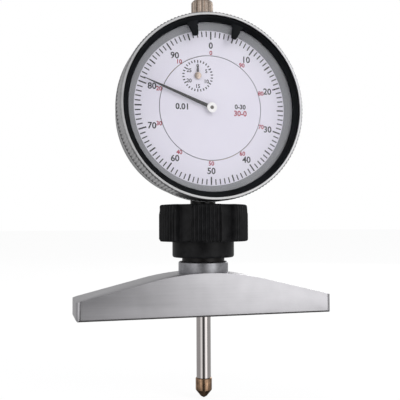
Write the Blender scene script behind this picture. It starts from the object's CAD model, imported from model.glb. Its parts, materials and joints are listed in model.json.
import json
import math

import bmesh
import bpy
from mathutils import Matrix, Vector


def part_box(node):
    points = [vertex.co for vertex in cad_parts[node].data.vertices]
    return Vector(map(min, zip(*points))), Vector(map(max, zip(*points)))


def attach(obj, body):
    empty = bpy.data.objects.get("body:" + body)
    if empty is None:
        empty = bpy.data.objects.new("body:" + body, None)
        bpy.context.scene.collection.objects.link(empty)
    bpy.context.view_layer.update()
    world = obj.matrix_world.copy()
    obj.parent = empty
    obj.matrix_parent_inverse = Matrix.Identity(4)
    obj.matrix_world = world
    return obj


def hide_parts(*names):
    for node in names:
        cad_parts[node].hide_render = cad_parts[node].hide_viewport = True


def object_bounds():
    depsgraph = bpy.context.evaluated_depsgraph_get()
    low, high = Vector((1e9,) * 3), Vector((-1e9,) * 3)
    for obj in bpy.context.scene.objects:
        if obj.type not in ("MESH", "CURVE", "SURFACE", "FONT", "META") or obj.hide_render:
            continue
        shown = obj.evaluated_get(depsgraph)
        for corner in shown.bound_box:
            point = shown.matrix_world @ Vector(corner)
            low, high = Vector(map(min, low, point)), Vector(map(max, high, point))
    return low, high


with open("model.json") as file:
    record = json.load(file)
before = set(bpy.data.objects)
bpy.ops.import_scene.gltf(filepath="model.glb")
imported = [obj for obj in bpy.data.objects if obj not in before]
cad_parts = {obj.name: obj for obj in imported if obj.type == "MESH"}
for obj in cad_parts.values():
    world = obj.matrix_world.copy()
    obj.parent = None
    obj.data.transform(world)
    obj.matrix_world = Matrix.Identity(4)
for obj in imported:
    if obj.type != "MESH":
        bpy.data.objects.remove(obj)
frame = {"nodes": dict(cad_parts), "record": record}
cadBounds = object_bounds()
nodes = frame["nodes"]
mm = 0.001  # the pieces are drawn in millimetres and scaled when they are placed

# places that the pieces share, all from the frame
crystalLow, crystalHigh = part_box("crystal")
dialCentre = (crystalLow.z + crystalHigh.z) / 2 / mm
crystalFront = -crystalLow.y / mm
dialFront = -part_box("dial_ring")[0].y / mm
counterLow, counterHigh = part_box("counter_wheel")
counterX = (counterLow.x + counterHigh.x) / 2 / mm
counterY = (counterLow.z + counterHigh.z) / 2 / mm - dialCentre
upright = Matrix.Identity(4)
onDial = Matrix.Translation((0, 0, dialCentre)) @ Matrix.Rotation(math.radians(90), 4, "X")

# millimetres and degrees
near = 0.1  # how close to a surface counts as on it, where points or faces are chosen
weldTurned = 0.001
weldFine = 0.0005  # for copies of nodes and for print
flatAngle = 0.5


class Wire:  # an output socket that Python can calculate with
    def __init__(self, paint, socket):
        self.paint = paint
        self.socket = socket

    def calc(self, operation, first, second=0.0):
        return self.paint.add("ShaderNodeMath", {"operation": operation}, {0: first, 1: second})

    def __add__(self, other):
        return self.calc("ADD", self, other)

    def __radd__(self, other):
        return self.calc("ADD", other, self)

    def __sub__(self, other):
        return self.calc("SUBTRACT", self, other)

    def __rsub__(self, other):
        return self.calc("SUBTRACT", other, self)

    def __mul__(self, other):
        return self.calc("MULTIPLY", self, other)

    def __rmul__(self, other):
        return self.calc("MULTIPLY", other, self)

    def __truediv__(self, other):
        return self.calc("DIVIDE", self, other)

    def __rtruediv__(self, other):
        return self.calc("DIVIDE", other, self)

    def __pow__(self, other):
        return self.calc("POWER", self, other)

    def __neg__(self):
        return self.calc("MULTIPLY", self, -1.0)

    def highest(self, other):
        return self.calc("MAXIMUM", self, other)

    def size(self):
        return self.calc("ABSOLUTE", self)

    def ramp(self, start, end, low=0.0, high=1.0):
        settings = {"interpolation_type": "SMOOTHSTEP"}
        values = {"Value": self, "From Min": start, "From Max": end, "To Min": low, "To Max": high}
        return self.paint.add("ShaderNodeMapRange", settings, values)


class Paint:  # the nodes of one material, or of the world
    def __init__(self, name, owner=None):
        self.material = owner or bpy.data.materials.new(name)
        self.material.use_nodes = True
        self.tree = self.material.node_tree
        self.shader = self.tree.nodes.get("Principled BSDF")

    def plug(self, socket, value):
        if isinstance(value, Wire):
            self.tree.links.new(value.socket, socket)
        elif socket.type == "RGBA":
            socket.default_value = (*value[:3], 1.0)
        else:
            socket.default_value = value

    def add(self, kind, settings, values, output=0):
        node = self.tree.nodes.new(kind)
        for key, value in settings.items():
            setattr(node, key, value)
        for key, value in values.items():
            self.plug(node.inputs[key], value)
        return Wire(self, node.outputs[output])

    def set(self, **values):
        for key, value in values.items():
            self.plug(self.shader.inputs[key.replace("_", " ")], value)
        return self

    def place(self):
        return self.add("ShaderNodeTexCoord", {}, {}, "Object")

    def axes(self):
        place = self.place()
        return [self.add("ShaderNodeSeparateXYZ", {}, {0: place}, axis) for axis in range(3)]

    def grain(self, size, stretch=(1, 1, 1), detail=3.0):
        # noise with features of the given size in millimetres, drawn out along an axis
        scale = tuple(1 / (size * mm * part) for part in stretch)
        mapped = self.add("ShaderNodeMapping", {}, {"Vector": self.place(), "Scale": scale})
        return self.add("ShaderNodeTexNoise", {}, {"Vector": mapped, "Scale": 1.0, "Detail": detail})

    def rings(self, along, size, detail=3.0):
        # noise along one number, such as a height or a radius
        settings = {"noise_dimensions": "1D"}
        values = {"W": along * (1 / (size * mm)), "Scale": 1.0, "Detail": detail}
        return self.add("ShaderNodeTexNoise", settings, values)

    def radius(self, centreZ=None):
        # distance from the dial's axis, or from the plunger's axis
        x, y, z = self.axes()
        across = y if centreZ is None else z - centreZ * mm
        return (x * x + across * across) ** 0.5

    def mix(self, factor, first, second):
        # a colour mix has its two colours at inputs 6 and 7 and its result at output 2
        settings = {"data_type": "RGBA"}
        return self.add("ShaderNodeMix", settings, {0: factor, 6: first, 7: second}, 2)

    def relief(self, height, depth):
        values = {"Height": height, "Distance": depth * mm, "Strength": 1.0}
        return self.add("ShaderNodeBump", {}, values)


def shade(colour, amount):
    return tuple(min(1.0, part * amount) for part in colour)


# what a finish has where its own dictionary doesn't say otherwise
usualMetal = {
    "patchSize": 6.0,
    "marksShare": 0.55,
    "toneFrom": 0.3,
    "toneTo": 0.7,
    "spread": 0.16,
    "roughSpread": 0.16,
    "depth": 0.004,
}
usualPlastic = {
    "grainSize": 0.25,
    "patchSize": 5.0,
    "grainShare": 0.4,
    "toneFrom": 0.3,
    "toneTo": 0.75,
    "roughSpread": 0.18,
    "depth": 0.01,
    "specular": 0.5,
}


def blend(first, second, share):
    return first * share + second * (1 - share)


def metalPaint(name, given):
    # a machined metal: streaks of tool marks in its colour, roughness and relief
    look = {**usualMetal, **given}
    paint = Paint(name)
    marks = look["marks"](paint)
    patches = paint.grain(look["patchSize"], detail=2.0)
    tone = blend(marks, patches, look["marksShare"]).ramp(look["toneFrom"], look["toneTo"])
    colour, spread = look["colour"], look["spread"]
    tinted = paint.mix(tone, shade(colour, 1 - spread), shade(colour, 1 + spread))
    if "stain" in look:
        tinted = paint.mix(look["stain"](paint), tinted, look["stainColour"])
    paint.set(
        Base_Color=tinted,
        Metallic=1.0,
        Roughness=look["roughness"] + (marks - 0.5) * look["roughSpread"],
        Normal=paint.relief(marks, look["depth"]),
    )
    return paint.material


def plasticPaint(name, given):
    # a moulded or painted surface: fine grain, faint dust and a slight change of tone
    look = {**usualPlastic, **given}
    paint = Paint(name)
    fine = paint.grain(look["grainSize"], detail=4.0)
    patches = paint.grain(look["patchSize"], detail=3.0)
    tone = blend(fine, patches, look["grainShare"]).ramp(look["toneFrom"], look["toneTo"])
    paint.set(
        Base_Color=paint.mix(tone, look["colour"], look["dust"]),
        Roughness=look["roughness"] + (patches - 0.5) * look["roughSpread"],
        Normal=paint.relief(fine, look["depth"]),
        Specular_IOR_Level=look["specular"],
    )
    return paint.material


# widths of the tool marks in millimetres
toolMarks = {
    "fine": 0.16,
    "fineLong": 60,  # how many times longer than wide
    "coarse": 0.7,
    "coarseLong": 40,
    "groundShare": 0.6,  # each share is that of the first kind in its blend
    "turnedPitch": 0.12,
    "turnedPatch": 1.2,
    "patchFlat": 0.6,  # height of a patch as a share of its width
    "turnedShare": 0.6,
    "streak": 0.9,
    "streakLong": 9,
    "ringPitch": 0.18,
    "ringPatch": 2.0,
    "ringShare": 0.7,
    "blast": 0.14,
    "blastPatch": 1.5,
    "blastShare": 0.7,
    "stainFrom": 33.2,  # heights between which the stem turns black
    "stainTo": 33.8,
}


def alongX(paint):
    fine = paint.grain(toolMarks["fine"], (toolMarks["fineLong"], 1, 1), 4.0)
    coarse = paint.grain(toolMarks["coarse"], (toolMarks["coarseLong"], 1, 1), 2.0)
    return blend(fine, coarse, toolMarks["groundShare"])


def turnedUpright(paint):
    x, y, z = paint.axes()
    patches = paint.grain(toolMarks["turnedPatch"], (1, 1, toolMarks["patchFlat"]), 2.0)
    return blend(paint.rings(z, toolMarks["turnedPitch"], 2.0), patches, toolMarks["turnedShare"])


def streaked(paint):
    return paint.grain(toolMarks["streak"], (1, 1, toolMarks["streakLong"]), 2.0)


def darkRoot(paint):
    # the stem is blackened where it leaves the case
    x, y, z = paint.axes()
    return z.ramp(toolMarks["stainFrom"] * mm, toolMarks["stainTo"] * mm)


def turnedOnDial(paint):
    rings = paint.rings(paint.radius(dialCentre), toolMarks["ringPitch"], 3.0)
    return blend(rings, paint.grain(toolMarks["ringPatch"]), toolMarks["ringShare"])


def blasted(paint):
    fine = paint.grain(toolMarks["blast"], detail=2.0)
    return blend(fine, paint.grain(toolMarks["blastPatch"]), toolMarks["blastShare"])


metals = {
    "ground_steel": {"colour": (0.63, 0.62, 0.645), "roughness": 0.34, "marks": alongX,
                     "depth": 0.006, "spread": 0.07},
    "dull_steel": {"colour": (0.20, 0.18, 0.16), "roughness": 0.4, "marks": blasted},
    "turned_steel": {"colour": (0.46, 0.46, 0.485), "roughness": 0.41, "marks": turnedUpright,
                     "patchSize": 2.2, "spread": 0.3, "depth": 0.006},
    "black_oxide": {"colour": (0.035, 0.034, 0.034), "roughness": 0.42, "marks": turnedUpright},
    "brass": {"colour": (0.70, 0.53, 0.27), "roughness": 0.3, "marks": blasted},
    "wheel_brass": {"colour": (0.76, 0.58, 0.28), "roughness": 0.26, "marks": blasted},
    "polished_steel": {"colour": (0.70, 0.655, 0.645), "roughness": 0.12, "marks": turnedUpright,
                       "depth": 0.001, "roughSpread": 0.06, "spread": 0.05},
    "stem_steel": {"colour": (0.70, 0.655, 0.645), "roughness": 0.14, "marks": turnedUpright,
                   "depth": 0.001, "spread": 0.05, "stain": darkRoot, "stainColour": (0.02, 0.02, 0.02)},
    "satin_metal": {"colour": (0.46, 0.465, 0.475), "roughness": 0.34, "marks": turnedOnDial,
                    "depth": 0.012, "spread": 0.14, "patchSize": 12.0},
    "satin_alloy": {"colour": (0.62, 0.62, 0.63), "roughness": 0.32, "marks": turnedOnDial,
                    "depth": 0.004, "spread": 0.1, "patchSize": 3.0},
    "cap_metal": {"colour": (0.64, 0.53, 0.45), "roughness": 0.28, "marks": turnedUpright,
                  "spread": 0.14, "patchSize": 1.5},
    "contact_brass": {"colour": (0.44, 0.28, 0.18), "roughness": 0.2, "marks": streaked,
                      "spread": 0.6, "patchSize": 1.2, "depth": 0.02},
    "hard_ball": {"colour": (0.16, 0.13, 0.12), "roughness": 0.15, "marks": blasted, "depth": 0.001},
    "screw_steel": {"colour": (0.55, 0.55, 0.57), "roughness": 0.3, "marks": blasted},
    "spring_steel": {"colour": (0.42, 0.42, 0.45), "roughness": 0.3, "marks": blasted},
    "hair_steel": {"colour": (0.12, 0.16, 0.34), "roughness": 0.3, "marks": blasted},
}
plastics = {
    "black_plastic": {"colour": (0.003, 0.003, 0.0035), "dust": (0.012, 0.012, 0.013),
                      "roughness": 0.40, "depth": 0.012, "specular": 0.18, "patchSize": 2.0},
    "wall_grey": {"colour": (0.25, 0.255, 0.265), "dust": (0.29, 0.295, 0.305),
                  "roughness": 0.42, "depth": 0.003},
    "black_ring": {"colour": (0.003, 0.0035, 0.004), "dust": (0.006, 0.007, 0.009),
                   "roughness": 0.4, "depth": 0.004, "specular": 0.1},
    "dial_white": {"colour": (0.78, 0.755, 0.84), "dust": (0.82, 0.80, 0.87),
                   "roughness": 0.5, "depth": 0.001, "patchSize": 14.0},
    "pointer_black": {"colour": (0.012, 0.012, 0.013), "dust": (0.03, 0.03, 0.031),
                      "roughness": 0.35, "depth": 0.003},
    "hub_white": {"colour": (0.90, 0.89, 0.87), "dust": (0.95, 0.94, 0.92),
                  "roughness": 0.3, "depth": 0.002},
    "ink_black": {"colour": (0.010, 0.010, 0.012), "dust": (0.022, 0.022, 0.025),
                  "roughness": 0.5, "depth": 0.002},
    "ink_red": {"colour": (0.34, 0.015, 0.045), "dust": (0.42, 0.03, 0.07),
                "roughness": 0.5, "depth": 0.002},
}
crystalLook = {
    "tint": (0.985, 0.985, 0.99),
    "gloss": 0.02,
    "ior": 1.45,
    "share": 0.55,
    "smearSize": 9.0,
    "smearDepth": 0.03,
}


def crystalPaint(name, look):
    # thin glass: light goes straight through, and the surface adds a weak reflection
    paint = Paint(name)
    paint.tree.nodes.remove(paint.shader)
    clear = paint.add("ShaderNodeBsdfTransparent", {}, {"Color": look["tint"]})
    smears = paint.grain(look["smearSize"], detail=3.0)
    roughness = look["gloss"] + smears * look["smearDepth"]
    gloss = paint.add("ShaderNodeBsdfGlossy", {}, {"Color": (1, 1, 1), "Roughness": roughness})
    edge = paint.add("ShaderNodeFresnel", {}, {"IOR": look["ior"]})
    both = paint.add("ShaderNodeMixShader", {}, {0: edge * look["share"], 1: clear, 2: gloss})
    output = paint.tree.nodes["Material Output"]
    paint.plug(output.inputs["Surface"], both)
    return paint.material


finishes = {name: metalPaint(name, look) for name, look in metals.items()}
finishes.update({name: plasticPaint(name, look) for name, look in plastics.items()})
finishes["crystal_clear"] = crystalPaint("crystal_clear", crystalLook)
print("finishes:", len(finishes))


# every node of the frame takes its slot's finish, or its own
ownFinish = {"stem": "stem_steel", "centre_arbor": "dull_steel"}
for subpart in frame["record"]["subparts"]:
    name, slot = subpart["node"], subpart["material_slot"]
    nodes[name].data.materials.clear()
    nodes[name].data.materials.append(finishes[ownFinish.get(name, slot)])
print("nodes dressed:", len(nodes))


def dropIn(shape, name, body, slot, place=upright, replaced=(), smooth=30.0, finish=None):
    # turns a shape drawn in millimetres into a piece of the part
    bmesh.ops.transform(shape, matrix=Matrix.Scale(mm, 4) @ place, verts=shape.verts)
    mesh = bpy.data.meshes.new(name)
    shape.to_mesh(mesh)
    shape.free()
    mesh.shade_smooth()
    mesh.set_sharp_from_angle(angle=math.radians(smooth))
    mesh.materials.append(finishes[finish or slot])
    piece = bpy.data.objects.new(name, mesh)
    bpy.context.scene.collection.objects.link(piece)
    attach(piece, body)
    if replaced:
        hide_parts(*replaced)
    return piece


def turned(profile, steps, closed=True):
    # a lathe-turned shape round z: the profile lists radius and height
    shape = bmesh.new()
    corners = [shape.verts.new((radius, 0, height)) for radius, height in profile]
    pairs = list(zip(corners, corners[1:]))
    if closed:
        pairs.append((corners[-1], corners[0]))
    lines = [shape.edges.new(pair) for pair in pairs]
    bmesh.ops.spin(shape, geom=corners + lines, cent=(0, 0, 0), axis=(0, 0, 1), dvec=(0, 0, 0),
                   angle=math.tau, steps=steps, use_merge=True, use_duplicate=False)
    bmesh.ops.remove_doubles(shape, verts=shape.verts, dist=weldTurned)
    bmesh.ops.recalc_face_normals(shape, faces=shape.faces)
    return shape


def breakEdges(shape, width, segments=2, angle=25.0, chosen=None):
    # rounds each edge whose faces meet at more than the angle
    limit = math.radians(angle)
    sharp = [edge for edge in shape.edges if len(edge.link_faces) == 2
             and edge.calc_face_angle(0) > limit and (chosen is None or chosen(edge))]
    bmesh.ops.bevel(shape, geom=sharp, offset=width, offset_type="OFFSET", segments=segments,
                    profile=0.5, affect="EDGES", clamp_overlap=True, material=-1)
    return shape


def colourFaces(shape, index, chosen):
    for face in shape.faces:
        if chosen(face.calc_center_median()):
            face.material_index = index


def copyOf(node):
    # a merged copy of a node's mesh, in millimetres, with its flat faces whole
    shape = bmesh.new()
    shape.from_mesh(nodes[node].data)
    bmesh.ops.transform(shape, matrix=Matrix.Scale(1 / mm, 4), verts=shape.verts)
    bmesh.ops.remove_doubles(shape, verts=shape.verts, dist=weldFine)
    limit = math.radians(flatAngle)
    bmesh.ops.dissolve_limit(shape, angle_limit=limit, verts=shape.verts, edges=shape.edges)
    return shape


# bezel, with its knurl and the grey wall inside
bezel = {
    "steps": 300,  # two for each notch of the knurl
    "outer": 28.4,
    "rear": 4.6,
    "bandRear": 6.0,
    "notch": 0.3,
    "chamfer": 0.45,
    "line": 0.09,  # a thin groove between the lip and the knurl
    "lip": 1.2,
    "lipRound": 0.1,  # the lip's inner edge slopes in by this and down by the next
    "lipFall": 0.4,
    "edge": 0.22,
    "boreInset": 0.8,  # the case's rim, on which the bore turns, is this much smaller than the case
    "play": 0.04,
    "bandSunk": 0.03,  # the knurled band lies this far below the rear edge
    "step": 0.02,
    "rimDepth": 1.48,  # from the dial's front back to the bore's front end
    "ledgeInset": 0.6,
    "ledgeWidth": 2.1,
    "clipWidth": 2.4,
    "windowLip": 0.15,
}


def makeBezel():
    front = -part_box("bezel")[0].y / mm
    outer, rear, bandRear, line = (bezel[key] for key in ("outer", "rear", "bandRear", "line"))
    chamfer, play, step = (bezel[key] for key in ("chamfer", "play", "step"))
    band = outer - bezel["bandSunk"]
    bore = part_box("case")[1].x / mm - bezel["boreInset"] + play
    rimTop = dialFront - bezel["rimDepth"]
    ringOuter = outer - bezel["lip"]
    lineOuter = outer - chamfer - play
    ledge = crystalHigh.x / mm - bezel["ledgeInset"]
    window = ledge - bezel["ledgeWidth"]
    clip = min(window + bezel["clipWidth"], bore - play)
    crystalBack = -crystalHigh.y / mm
    profile = [
        (bore, rear), (outer, rear), (outer, bandRear), (band, bandRear + step), (band, front - chamfer),
        (lineOuter + step, front - step), (lineOuter, front - line),
        (lineOuter - line, front - line), (lineOuter - line, front),
        (ringOuter + bezel["lipRound"], front), (ringOuter, front - bezel["lipFall"]),
        (ringOuter, crystalBack), (ledge, crystalBack),
        (window, dialFront + bezel["windowLip"]), (window, dialFront + step),
        (clip, dialFront + step), (clip, rimTop), (bore, rimTop),
    ]
    shape = turned(profile, bezel["steps"])
    breakEdges(shape, bezel["edge"], 3, chosen=lambda edge: all(
        vert.co.xy.length > ringOuter and vert.co.z < bandRear - 2 * near for vert in edge.verts))
    column = math.tau / bezel["steps"]
    for vert in shape.verts:
        place = round(math.atan2(vert.co.y, vert.co.x) / column)
        if place % 2 and vert.co.z > bandRear + step / 2 and vert.co.xy.length > outer - near:
            vert.co.xy *= 1 - bezel["notch"] / outer
    colourFaces(shape, 1, lambda middle: (window - near < middle.xy.length < ledge
                                          and dialFront < middle.z < crystalBack - near / 2))
    shell = dropIn(shape, "bezel_shell", "bezel", "satin_alloy", onDial, ["bezel"])
    shell.data.materials.append(finishes["wall_grey"])


# black ring over the crystal
ring = {
    "steps": 240,
    "edge": 0.1,
    "play": 0.02,
    "clear": 0.06,  # height over the crystal
    "overlap": 0.85,
    "slope": 0.45,
    "noseWidth": 0.25,
    "noseHeight": 0.55,
}


def makeRing():
    low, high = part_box("retaining_ring")
    outer = high.x / mm
    front, back = -low.y / mm, -high.y / mm
    seat = crystalHigh.x / mm + ring["play"]
    inner = crystalHigh.x / mm - ring["overlap"]
    under = crystalFront + ring["clear"]
    shape = turned([
        (seat, back), (outer, back), (outer, front), (outer - ring["slope"], front),
        (inner + ring["noseWidth"], crystalFront + ring["noseHeight"]), (inner, under), (seat, under),
    ], ring["steps"])
    breakEdges(shape, ring["edge"], angle=20)
    dropIn(shape, "black_ring", "bezel", "black_ring", onDial, ["retaining_ring"])


# print on the dial
scale = {
    "marks": 100,
    "middleEvery": 5,
    "longEvery": 10,
    "outer": 23.35,
    "long": 2.45,
    "middle": 2.1,
    "short": 1.7,
    "longWidth": 0.42,
    "width": 0.34,
    "numbersAt": 19.1,
    "numbersTall": 1.85,
    "bold": 0.06,
    "redAt": 16.85,
    "redTall": 1.25,
    "redBold": 0.05,
    "ringWidth": 0.12,  # a printed line along the edge of the fixed disc
    "height": 0.02,  # thickness of the ink
}
counterScale = {
    "marks": 30,
    "longEvery": 5,
    "outer": 4.8,
    "inner": 4.1,
    "longInner": 3.95,
    "width": 0.34,
    "numbersAt": 3.1,
    "numbersTall": 1.1,
    "bold": 0.04,
}
notes = {
    "leftAt": (-8.9, 0.15),
    "left": "0.01",
    "leftTall": 1.75,
    "leftBold": 0.07,
    "rightBold": 0.06,  # of both lines at the right
    "rightAt": (9.3, 0.7),
    "right": "0-30",
    "rightTall": 1.35,
    "lowerAt": (9.3, -1.3),
    "lower": "30-0",
    "lowerTall": 1.6,
}
capShare = 0.7  # height of a figure as a share of the font's size


def turnRight(degrees):
    # a turn clockwise from the top of the dial
    return Matrix.Rotation(-math.radians(degrees), 4, "Z")


def onClock(degrees, radius):
    angle = math.radians(degrees)
    return radius * math.sin(angle), radius * math.cos(angle)


def addTick(shape, degrees, inner, outer, width, centre=(0, 0)):
    size = Matrix.Diagonal((width, outer - inner, scale["height"], 1))
    middle = Matrix.Translation((0, (inner + outer) / 2, dialFront))
    centred = Matrix.Translation((*centre, 0))
    bmesh.ops.create_cube(shape, size=1, matrix=centred @ turnRight(degrees) @ middle @ size)


def addRing(shape, radius, width, steps=180):
    loops = []
    for reach in (radius - width / 2, radius + width / 2):
        places = [onClock(360 * step / steps, reach) for step in range(steps)]
        loops.append([shape.verts.new((x, y, dialFront + scale["height"] / 2)) for x, y in places])
    inner, outer = loops
    for step in range(steps):
        shape.faces.new((outer[step - 1], outer[step], inner[step], inner[step - 1]))


def addWord(shape, words, x, y, tall, bold=0.0):
    # a word becomes a thin mesh, then joins the shape at its place
    curve = bpy.data.curves.new("word", "FONT")
    curve.body = words
    curve.size = tall / capShare
    curve.align_x = "CENTER"
    curve.extrude = scale["height"] / 2
    curve.offset = bold
    curve.resolution_u = 3
    holder = bpy.data.objects.new("word", curve)
    bpy.context.scene.collection.objects.link(holder)
    bpy.context.view_layer.update()
    mesh = bpy.data.meshes.new_from_object(holder)
    mesh.transform(Matrix.Translation((x, y - tall / 2, dialFront)))
    shape.from_mesh(mesh)
    bpy.data.objects.remove(holder)
    bpy.data.meshes.remove(mesh)
    bpy.data.curves.remove(curve)


def printScale():
    black, red = bmesh.new(), bmesh.new()
    marks, each = scale["marks"], scale["longEvery"]
    for mark in range(marks):
        long, middle = mark % each == 0, mark % scale["middleEvery"] == 0
        kind = "long" if long else "middle" if middle else "short"
        width = scale["longWidth"] if middle else scale["width"]
        addTick(black, mark * (360 / marks), scale["outer"] - scale[kind], scale["outer"], width)
    for number in range(0, marks, each):
        x, y = onClock(360 * number / marks, scale["numbersAt"])
        addWord(black, str(number), x, y, scale["numbersTall"], scale["bold"])
        x, y = onClock(360 * number / marks, scale["redAt"])
        addWord(red, str(marks - number if number else 0), x, y, scale["redTall"], scale["redBold"])
    dropPrint(black, "dial_scale", "bezel", "ink_black", "pointer_black")
    dropPrint(red, "dial_scale_red", "bezel", "ink_red", None)


def printDisc():
    black, red = bmesh.new(), bmesh.new()
    centre = (counterX, counterY)
    marks, each = counterScale["marks"], counterScale["longEvery"]
    for mark in range(marks):
        inner = counterScale["longInner"] if mark % each == 0 else counterScale["inner"]
        addTick(black, 360 * mark / marks, inner, counterScale["outer"], counterScale["width"], centre)
    for number in range(0, marks, each):
        x, y = onClock(360 * number / marks, counterScale["numbersAt"])
        tall, bold = counterScale["numbersTall"], counterScale["bold"]
        addWord(black, str(number), counterX + x, counterY + y, tall, bold)
    addWord(black, notes["left"], *notes["leftAt"], notes["leftTall"], notes["leftBold"])
    addWord(black, notes["right"], *notes["rightAt"], notes["rightTall"], notes["rightBold"])
    addWord(red, notes["lower"], *notes["lowerAt"], notes["lowerTall"], notes["rightBold"])
    addRing(black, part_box("dial_disc")[1].x / mm - scale["ringWidth"] / 2, scale["ringWidth"])
    dropPrint(black, "disc_print", "head", "ink_black", "pointer_black")
    dropPrint(red, "disc_print_red", "head", "ink_red", None)


def dropPrint(shape, name, body, finish, slot):
    bmesh.ops.remove_doubles(shape, verts=shape.verts, dist=weldFine)
    dropIn(shape, name, body, slot, onDial, finish=finish)


# clamping nut
nut = {
    "steps": 720,
    "lobes": 6,
    "lobeAngle": 40.0,
    "turn": -11.0,
    "ribs": 8,
    "ribDepth": 0.5,
    "hollow": 2.1,
    "corner": 1.5,  # degrees over which a lobe's corner rounds off
    "root": 9.9,  # the lobes grow out of this radius
    "edge": 0.7,
    "starHeight": 11.4,
    "skirt": 9.7,
    "bore": 4.3,
    "recess": 6.75,
    "recessDeep": 0.6,
    "taperHeight": 3,  # at the top, and the height of one more row of points at the bottom
    "taper": 0.2,
}


def nutRadius(angle, outer):
    # outline of the nut: ribbed lobes with smooth hollows between them
    pitch = 360 / nut["lobes"]
    local = (angle + 90 - nut["turn"] + pitch / 2) % pitch - pitch / 2
    half = nut["lobeAngle"] / 2
    past = (abs(local) - half + nut["corner"]) / (2 * nut["corner"])
    fall = min(1, max(0, past))
    fall = fall * fall * (3 - 2 * fall)
    rib = 0.0
    if abs(local) < half - nut["corner"]:
        rib = nut["ribDepth"] * (0.5 - 0.5 * math.cos(math.tau * (local / nut["lobeAngle"] * nut["ribs"])))
    return outer - nut["hollow"] * fall - rib * (1 - fall)


def makeNut():
    low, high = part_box("clamp_nut")
    outer = max(high.x, -low.x) / mm
    bottom, top = low.z / mm, high.z / mm
    starLow = top - nut["starHeight"]
    skirt, bore, recess, taperHeight = (nut[key] for key in ("skirt", "bore", "recess", "taperHeight"))
    recessTop = bottom + nut["recessDeep"]
    profile = [
        (bore, top), (bore, recessTop), (recess, recessTop), (recess, bottom), (skirt, bottom),
        (skirt, starLow), (outer, starLow), (outer, starLow + taperHeight), (outer, top - taperHeight),
        (outer - nut["taper"], top),
    ]
    shape = turned(profile, nut["steps"])
    breakEdges(shape, nut["edge"], 4, angle=40, chosen=lambda edge: all(
        vert.co.xy.length > skirt - near and not starLow - near < vert.co.z < starLow + near
        or vert.co.xy.length > skirt + 1 for vert in edge.verts))
    for vert in shape.verts:
        radius = vert.co.xy.length
        if radius > nut["root"] and vert.co.z > starLow - near:
            wanted = nutRadius(math.degrees(math.atan2(vert.co.y, vert.co.x)), outer)
            share = (wanted - nut["root"]) / (outer - nut["root"])
            vert.co.xy *= (nut["root"] + (radius - nut["root"]) * share) / radius
    dropIn(shape, "grip_nut", "clamp_nut", "black_plastic", replaced=["clamp_nut"], smooth=50)


# pointer hub
hub = {
    "steps": 64,
    "radius": 1.55,
    "thick": 0.21,
    "crown": 0.02,
    "dimple": 0.55,
    "dimpleDeep": 0.18,
    "dimpleSlope": 0.6,  # depth at the dimple's wall as a share of its depth
    "edge": 0.08,
    "neck": 0.8,
}


def makeHub():
    low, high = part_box("pointer_hub")
    top, bottom = -low.y / mm, -high.y / mm
    under = top - hub["thick"]
    dimple, deep = hub["dimple"], hub["dimpleDeep"]
    profile = [
        (0, top - deep), (dimple, top - deep * hub["dimpleSlope"]), (dimple, top),
        (hub["radius"], top - hub["crown"]), (hub["radius"], under), (hub["neck"], under),
        (hub["neck"], bottom), (0, bottom),
    ]
    shape = turned(profile, hub["steps"], closed=False)
    breakEdges(shape, hub["edge"], 3, angle=40)
    colourFaces(shape, 1, lambda middle: middle.xy.length < dimple and middle.z > under)
    piece = dropIn(shape, "hub_cap", "pointer", "hub_white", onDial, ["pointer_hub"])
    piece.data.materials.append(finishes["pointer_black"])


# small hand of the counter
smallHand = {
    "steps": 48,
    "hub": 1.05,
    "edge": 0.1,
    "width": 0.7,
    "tipWidth": 0.24,
    "root": 0.3,
    "lift": 0.04,
    "thinner": 0.12,  # than the hub
}


def makeSmallHand():
    low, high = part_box("counter_hand")
    top, bottom = -low.y / mm, -high.y / mm
    reach = high.z / mm - dialCentre - counterY
    hubRadius = smallHand["hub"]
    shape = turned([(0, top), (hubRadius, top), (hubRadius, bottom), (0, bottom)],
                   smallHand["steps"], closed=False)
    breakEdges(shape, smallHand["edge"], 3, angle=40)
    halfWidth, halfTip = smallHand["width"] / 2, smallHand["tipWidth"] / 2
    root, under = smallHand["root"], bottom + smallHand["lift"]
    outline = [(-halfWidth, root), (halfWidth, root), (halfTip, reach), (-halfTip, reach)]
    blade = shape.faces.new([shape.verts.new((x, y, under)) for x, y in outline])
    grown = bmesh.ops.extrude_face_region(shape, geom=[blade])
    lifted = [item for item in grown["geom"] if isinstance(item, bmesh.types.BMVert)]
    bmesh.ops.translate(shape, verts=lifted, vec=(0, 0, top - bottom - smallHand["thinner"]))
    bmesh.ops.recalc_face_normals(shape, faces=shape.faces)
    colourFaces(shape, 1, lambda middle: middle.y > hubRadius + near)
    place = onDial @ Matrix.Translation((counterX, counterY, 0))
    piece = dropIn(shape, "small_hand", "counter", "pointer_black", place, ["counter_hand"],
                   finish="cap_metal")
    piece.data.materials.append(finishes["pointer_black"])


# lifting cap
cap = {
    "flutes": 16,
    "stepsEach": 12,
    "depth": 0.34,
    "edge": 0.125,
    "chamfer": 0.7,
    "boss": 0.8,
    "bossHeight": 0.25,
    "bandLow": 0.6,
    "bandHigh": 0.9,
    "fluteFrom": 0.7,
    "bore": 2.27,
    "roof": 1.5,
}


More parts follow.
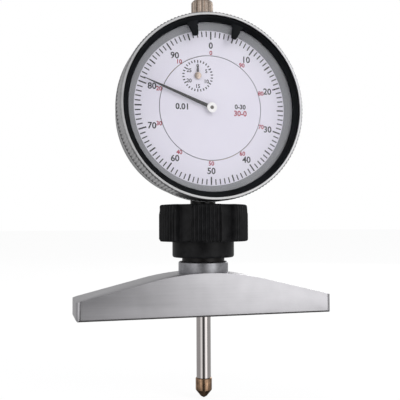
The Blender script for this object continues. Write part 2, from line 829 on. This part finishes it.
def makeCap():
    low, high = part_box("lift_cap")
    outer = high.x / mm
    bottom, top = low.z / mm, high.z / mm - cap["bossHeight"]
    boss, bore, chamfer = cap["boss"], cap["bore"], cap["chamfer"]
    bossTop, roof = top + cap["bossHeight"], top - cap["roof"]
    profile = [
        (0, bossTop), (boss, bossTop), (boss, top), (outer - chamfer, top), (outer, top - chamfer),
        (outer, bottom + cap["bandHigh"]), (outer, bottom + cap["bandLow"]), (outer, bottom),
        (bore, bottom), (bore, roof), (0, roof),
    ]
    shape = turned(profile, cap["flutes"] * cap["stepsEach"], closed=False)
    breakEdges(shape, cap["edge"], angle=30)
    for vert in shape.verts:
        radius = vert.co.xy.length
        if radius > outer - 1 and vert.co.z > bottom + cap["fluteFrom"]:
            wave = 0.5 + 0.5 * math.cos(cap["flutes"] * math.atan2(vert.co.y, vert.co.x))
            vert.co.xy *= 1 - cap["depth"] * wave ** 2 / radius
    dropIn(shape, "finger_cap", "plunger", "cap_metal", replaced=["lift_cap"])


# copies of nodes with broken edges: name, body, finish and width of the edge
softened = {
    "base": ("base_bar", "base", "ground_steel", 0.14),
    "collar": ("collar_ring", "base", "turned_steel", 0.12),
    "left_marker": ("left_tab", "left_marker", "black_ring", 0.08),
    "right_marker": ("right_tab", "right_marker", "black_ring", 0.08),
    "contact_holder": ("contact_sleeve", "plunger", "contact_brass", 0.08),
    "cover_screws": ("cover_screw_heads", "head", "screw_steel", 0.12),
}


def makeSoftened():
    for node, (name, body, slot, width) in softened.items():
        shape = copyOf(node)
        breakEdges(shape, width, angle=30)
        dropIn(shape, name, body, slot, replaced=[node])


makeBezel()
makeRing()
print("bezel and ring made")
printScale()
printDisc()
print("dial printed")
makeHub()
makeSmallHand()
makeNut()
makeCap()
print("nut and cap made")
makeSoftened()
print("edges broken:", len(softened))


# floor, light and camera
studio = {
    "floorColour": (0.86, 0.86, 0.87),
    "floorSize": 6.0,
    "floorGap": 0.0001,  # metres under the object
    "floorSeen": 0.9,  # share of plain white in what the camera sees of the floor
    "skyDiffuse": 0.85,
    # what metal sees of the room, by the angle to the right of the camera, in degrees
    "room": 0.38,
    "camera": 0.06,
    "cameraFrom": 22.0,
    "cameraTo": 8.0,
    "backdrop": 0.1,  # added behind the object
    "backFrom": 120.0,
    "backTo": 165.0,
    # how much of that is left above and below, by the height of the view's direction
    "ceiling": 0.5,
    "ceilingFrom": 0.3,
    "ceilingTo": 0.8,
    "ground": 0.18,
    "groundFrom": -0.7,
    "groundTo": -0.15,
    "aim": 0.6,  # height that the lamps point at, as a share of the dial's
}
softboxes = [
    {"angle": 42.0, "half": 9.0, "fade": 15.0, "bright": 1.4},
    {"angle": -36.0, "half": 7.0, "fade": 14.0, "bright": 0.95},
]
lamps = {
    "key": {"at": (0.45, -0.55, 0.50), "size": 0.55, "power": 3.2},
    "fill": {"at": (-0.60, -0.20, 0.30), "size": 0.45, "power": 1.1},
    "top": {"at": (-0.05, 0.15, 0.75), "size": 0.60, "power": 1.2},
    "rear": {"at": (0.40, 0.50, 0.22), "size": 0.35, "power": 1.0, "mirrored": True},
}
camera = {
    "at": (-53.3, -195.3, 28.0),
    "yaw": 15.0,
    "pitch": 2.17,
    "roll": -0.24,
    "focalPixels": 641.0,
    "imageWidth": 400.0,
    "sensor": 36.0,
    "clipStart": 0.005,
}


def rayKinds(paint):
    names = ("Is Camera Ray", "Is Glossy Ray", "Is Transmission Ray")
    return [paint.add("ShaderNodeLightPath", {}, {}, name) for name in names]


def makeFloor():
    shape = bmesh.new()
    bmesh.ops.create_circle(shape, cap_ends=True, segments=64, radius=studio["floorSize"])
    level = cadBounds[0][2] - studio["floorGap"]
    bmesh.ops.translate(shape, verts=shape.verts, vec=(0, 0, level))
    mesh = bpy.data.meshes.new("floor")
    shape.to_mesh(mesh)
    shape.free()
    floor = bpy.data.objects.new("floor", mesh)
    bpy.context.scene.collection.objects.link(floor)
    paint = Paint("floor_paint")
    paint.set(Base_Color=studio["floorColour"], Roughness=0.9)
    seen, mirrored, through = rayKinds(paint)
    plain = seen.highest(mirrored).highest(through) * studio["floorSeen"]
    white = paint.add("ShaderNodeEmission", {}, {"Color": (1, 1, 1), "Strength": 1.0})
    lit = Wire(paint, paint.shader.outputs[0])
    both = paint.add("ShaderNodeMixShader", {}, {0: plain, 1: lit, 2: white})
    paint.plug(paint.tree.nodes["Material Output"].inputs["Surface"], both)
    mesh.materials.append(paint.material)
    floor.visible_glossy = False  # metal shows the white room behind it instead


def makeSky():
    world = bpy.data.worlds.new("studio")
    bpy.context.scene.world = world
    paint = Paint("studio", world)
    background = paint.tree.nodes["Background"]
    seen, mirrored, through = rayKinds(paint)
    way = paint.add("ShaderNodeTexCoord", {}, {}, "Generated")
    x, y, z = [paint.add("ShaderNodeSeparateXYZ", {}, {0: way}, axis) for axis in range(3)]
    yaw = math.radians(camera["yaw"])
    facing = x * -math.sin(yaw) - y * math.cos(yaw)
    right = x * math.cos(yaw) - y * math.sin(yaw)
    angle = right.calc("ARCTAN2", right, facing) * math.degrees(1)
    room = angle.size().ramp(studio["cameraTo"], studio["cameraFrom"], studio["camera"], studio["room"])
    room = room + angle.size().ramp(studio["backFrom"], studio["backTo"], 0.0, studio["backdrop"])
    for box in softboxes:
        past = (angle - box["angle"]).size()
        added = box["bright"] - studio["room"]
        room = room + past.ramp(box["half"], box["half"] + box["fade"], added, 0.0)
    above = z.ramp(studio["ceilingFrom"], studio["ceilingTo"], 1.0, studio["ceiling"])
    below = z.ramp(studio["groundFrom"], studio["groundTo"], studio["ground"], 1.0)
    room = room * above * below
    white = seen.highest(through)
    strength = white + mirrored * room + (1 - white.highest(mirrored)) * studio["skyDiffuse"]
    paint.plug(background.inputs["Color"], (1, 1, 1))
    paint.plug(background.inputs["Strength"], strength)


def makeLamps():
    target = Vector((0, 0, dialCentre * mm * studio["aim"]))
    for name, lamp in lamps.items():
        light = bpy.data.lights.new(name, "AREA")
        light.shape = "DISK"
        light.size = lamp["size"]
        light.energy = lamp["power"]
        holder = bpy.data.objects.new(name, light)
        holder.location = lamp["at"]
        holder.rotation_euler = (Vector(lamp["at"]) - target).to_track_quat("Z", "Y").to_euler()
        holder.visible_camera = False
        holder.visible_glossy = lamp.get("mirrored", False)  # metal shows the sky's softboxes instead
        bpy.context.scene.collection.objects.link(holder)


def makeCamera():
    yaw, pitch, roll = (math.radians(camera[key]) for key in ("yaw", "pitch", "roll"))
    forward = Vector((math.sin(yaw) * math.cos(pitch), math.cos(yaw) * math.cos(pitch), math.sin(pitch)))
    level = Vector((math.cos(yaw), -math.sin(yaw), 0))
    above = level.cross(forward)
    right = level * math.cos(roll) + above * math.sin(roll)
    up = above * math.cos(roll) - level * math.sin(roll)
    lens = bpy.data.cameras.new("camera")
    lens.sensor_width = camera["sensor"]
    lens.lens = camera["focalPixels"] / camera["imageWidth"] * camera["sensor"]
    lens.clip_start = camera["clipStart"]
    holder = bpy.data.objects.new("camera", lens)
    turn = Matrix((right, up, -forward)).transposed().to_4x4()
    holder.matrix_world = Matrix.Translation(Vector(camera["at"]) * mm) @ turn
    bpy.context.scene.collection.objects.link(holder)
    bpy.context.scene.camera = holder


makeFloor()
makeSky()
makeLamps()
makeCamera()
bpy.context.scene.view_settings.view_transform = "Standard"
print("studio ready")
